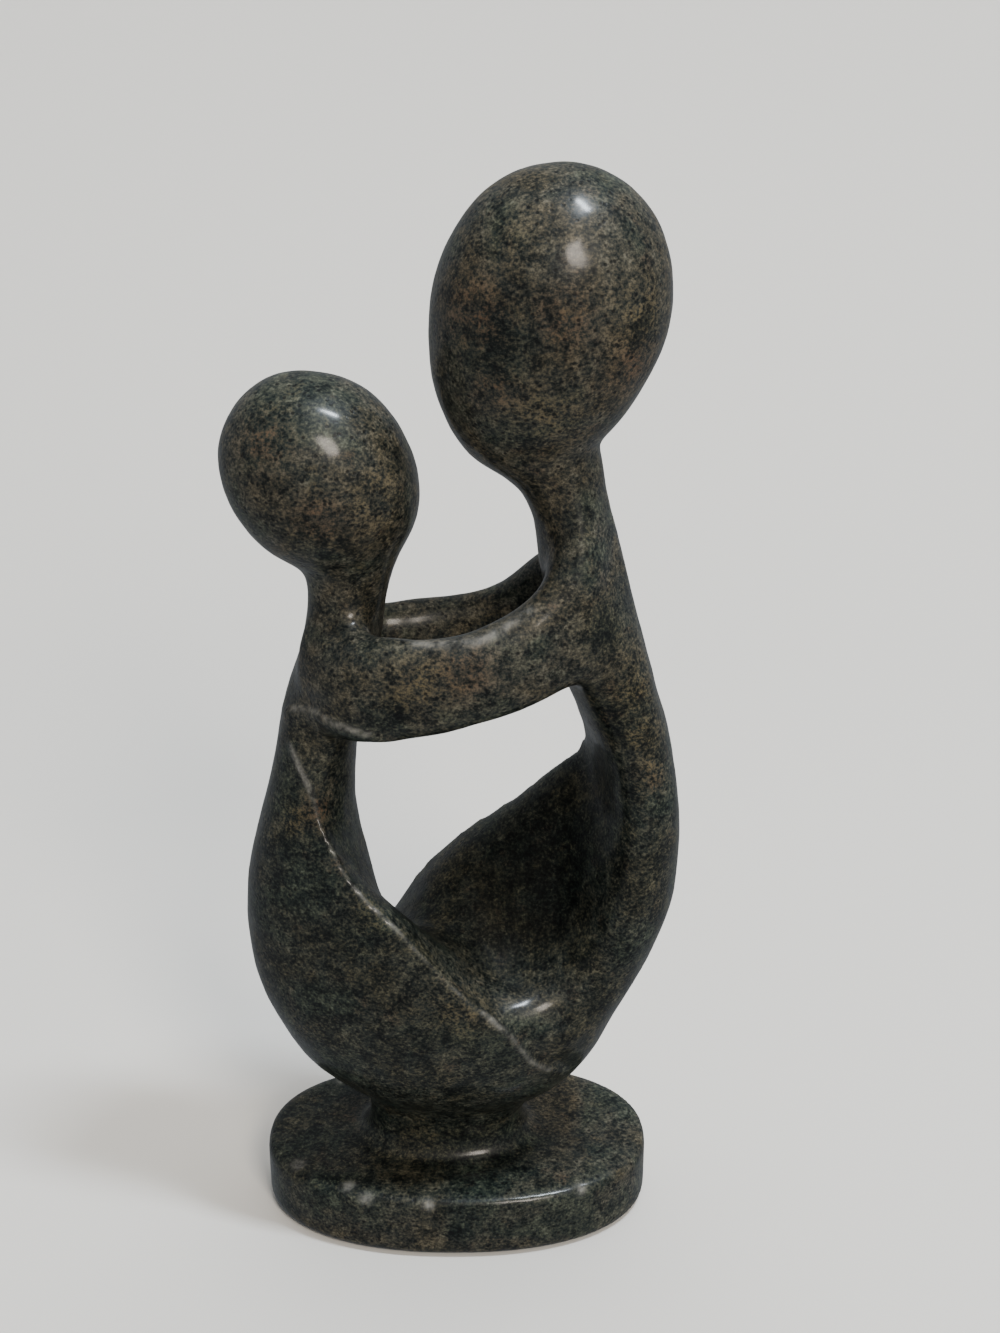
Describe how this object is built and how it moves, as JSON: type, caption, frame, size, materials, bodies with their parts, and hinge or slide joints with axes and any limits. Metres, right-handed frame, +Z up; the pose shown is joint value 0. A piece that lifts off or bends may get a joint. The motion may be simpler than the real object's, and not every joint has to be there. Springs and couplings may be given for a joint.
{
  "type": "carved stone figure group",
  "caption": "Dark polished soapstone carving of a mother and child with plain oval heads, her arms ringed around the child, on an oval plinth of the same stone.",
  "frame": {"origin": "centre of the plinth's flat underside", "axes": "+Z up; +X from the child towards the mother, along the plinth's length; -Y towards the side on which the child's skirt crosses in front of the mother's"},
  "size_m": [0.1008, 0.0564, 0.2513],
  "materials": {
    "soapstone": "polished and waxed, mottled dark green, grey and rust"
  },
  "bodies": {
    "root": {"mother_and_child": "soapstone"}
  },
  "joints": []
}
